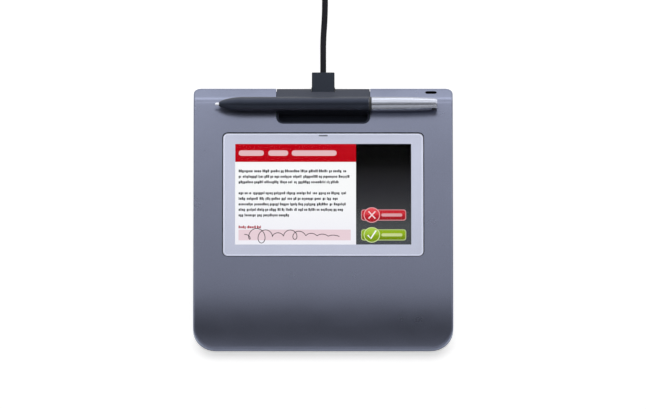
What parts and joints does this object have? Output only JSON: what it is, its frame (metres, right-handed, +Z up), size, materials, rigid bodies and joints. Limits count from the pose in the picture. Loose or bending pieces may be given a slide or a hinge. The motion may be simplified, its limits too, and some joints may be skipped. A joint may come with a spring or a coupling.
{
  "type": "signature pad",
  "caption": "Desktop signature pad: wedge-shaped case with rolled palm rest, glass-covered display, pen in a rear cradle and a detachable cable with its coil.",
  "frame": {"origin": "on the desk surface, under the middle of the case", "axes": "+X to the right of the person signing, +Y to the back of the pad where the cable leaves, +Z up"},
  "size_m": [0.1616, 0.3112, 0.0236],
  "materials": {
    "case_plastic": "satin blue-grey moulded plastic",
    "bottom_plastic": "fine textured dark grey plastic",
    "tray_plastic": "satin near-black plastic",
    "cover_glass": "clear glass with a fine polished edge",
    "border_print": "pale silver print seen through glass",
    "foam": "closed-cell foam",
    "display_face": "lit display face",
    "clear_plastic": "milky clear plastic",
    "steel": "plain stamped steel",
    "circuit_board": "green solder mask",
    "chip": "matt black moulding",
    "flex": "amber flexible film",
    "rubber": "matt black rubber",
    "nib_plastic": "white acetal",
    "grip_plastic": "smooth near-black plastic",
    "silver_plastic": "silver painted plastic",
    "cable_jacket": "smooth dark cable jacket"
  },
  "bodies": {
    "pad": {"top_cover": "case_plastic", "bottom_cover": "bottom_plastic", "pen_tray": "tray_plastic", "cover_glass": "cover_glass", "border_film": "border_print", "screen_gasket": "foam", "display_panel": "display_face", "backlight": "clear_plastic", "display_frame": "steel", "pen_sensor_board": "circuit_board", "shield_plate": "steel", "display_flat_cable": "flex", "sensor_flat_cable": "flex", "light_pipe": "clear_plastic", "lock_plate": "steel", "main_board": "circuit_board", "processor_chip": "chip", "sensor_chip": "chip", "display_connector": "chip", "sensor_connector": "chip", "status_light": "clear_plastic", "cable_socket": "steel", "foot_front_left": "rubber", "foot_front_right": "rubber", "foot_rear_left": "rubber", "foot_rear_right": "rubber", "housing_screw_front_left": "steel", "housing_screw_front_right": "steel", "housing_screw_middle_left": "steel", "housing_screw_middle_right": "steel", "housing_screw_rear_left": "steel", "housing_screw_rear_right": "steel", "board_screw_front": "steel", "board_screw_rear_left": "steel", "board_screw_rear_right": "steel"},
    "pen": {"pen_grip_barrel": "grip_plastic", "pen_joint_ring": "rubber", "pen_rear_barrel": "silver_plastic", "pen_ferrite_sleeve": "chip", "pen_pressure_sensor": "clear_plastic", "pen_board": "circuit_board"},
    "nib": {"pen_nib": "nib_plastic"},
    "cable": {"cable_connector": "tray_plastic", "connector_tongue": "steel", "cable_run": "cable_jacket", "cable_coil": "cable_jacket", "cable_tie": "rubber", "cable_tail": "cable_jacket", "computer_plug_body": "tray_plastic", "computer_plug_shell": "steel", "computer_plug_tongue": "chip"}
  },
  "joints": [
    {"name": "pen_lift", "type": "slide", "parent": "pad", "child": "pen", "axis": [0, 0, 1], "range_m": [0, 0.12]},
    {"name": "nib_press", "type": "slide", "parent": "pen", "child": "nib", "axis": [1, 0, 0], "range_m": [0, 0.0005], "stiffness_N_per_m": 2000},
    {"name": "connector_pull", "type": "slide", "parent": "pad", "child": "cable", "axis": [0, 1, 0], "range_m": [0, 0.014]}
  ]
}
